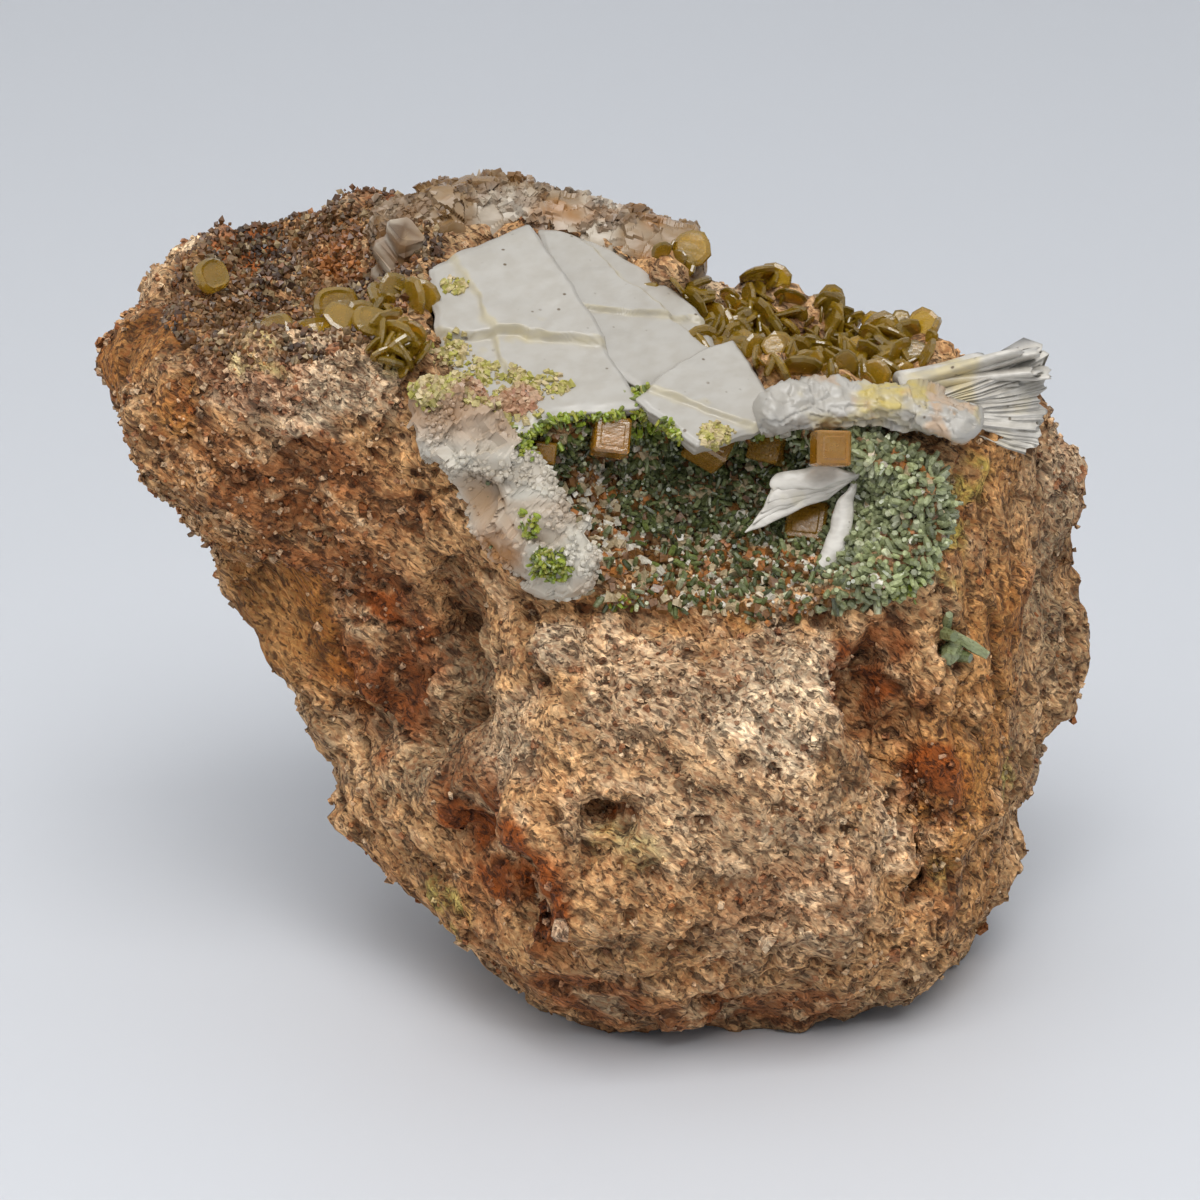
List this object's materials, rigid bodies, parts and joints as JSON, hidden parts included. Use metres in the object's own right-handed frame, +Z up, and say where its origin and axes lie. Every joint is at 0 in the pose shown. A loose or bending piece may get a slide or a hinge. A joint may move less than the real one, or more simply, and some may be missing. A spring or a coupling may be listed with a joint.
{
  "type": "mineral cluster",
  "caption": "Hand-sized mineral specimen: iron-stained rock with white barite plates, a pocket of green pyromorphite, amber wulfenite and hollows lined with crystals.",
  "frame": {"origin": "middle of the bounding box in plan, on the surface that the specimen stands on", "axes": "+X along the specimen's longest side, to the right of the view; +Y away from the viewer; +Z up"},
  "size_m": [0.0666, 0.046, 0.0524],
  "materials": {
    "rock": "rough, granular, iron-stained",
    "barite": "milky, satin cleavage faces",
    "quartz": "smoky to pale, glassy grains",
    "druse": "rough brown grains",
    "pyromorphite": "resinous green prisms",
    "yellow_wulfenite": "glossy, translucent honey yellow",
    "amber_wulfenite": "glossy, translucent amber"
  },
  "bodies": {
    "root": {"matrix_rock": "rock", "barite_plate_main": "barite", "barite_plate_rear": "barite", "barite_plate_side": "barite", "barite_rim": "barite", "barite_fan": "barite", "pocket_blade": "barite", "quartz_crest": "quartz", "quartz_lip": "quartz", "pocket_pyromorphite": "pyromorphite", "crack_pyromorphite": "pyromorphite", "shoulder_druse": "druse", "basin_wulfenite": "yellow_wulfenite", "shoulder_tablet_front": "yellow_wulfenite", "shoulder_tablet_back": "yellow_wulfenite", "shoulder_tablet_edge": "yellow_wulfenite", "shoulder_tablet_left": "yellow_wulfenite", "shoulder_tablet_right": "yellow_wulfenite", "amber_block_roof_left": "amber_wulfenite", "amber_block_roof_middle": "amber_wulfenite", "amber_block_roof_right": "amber_wulfenite", "amber_block_under_rim": "amber_wulfenite", "amber_block_under_blade": "amber_wulfenite", "amber_block_left": "amber_wulfenite", "amber_block_small": "amber_wulfenite"}
  },
  "joints": []
}
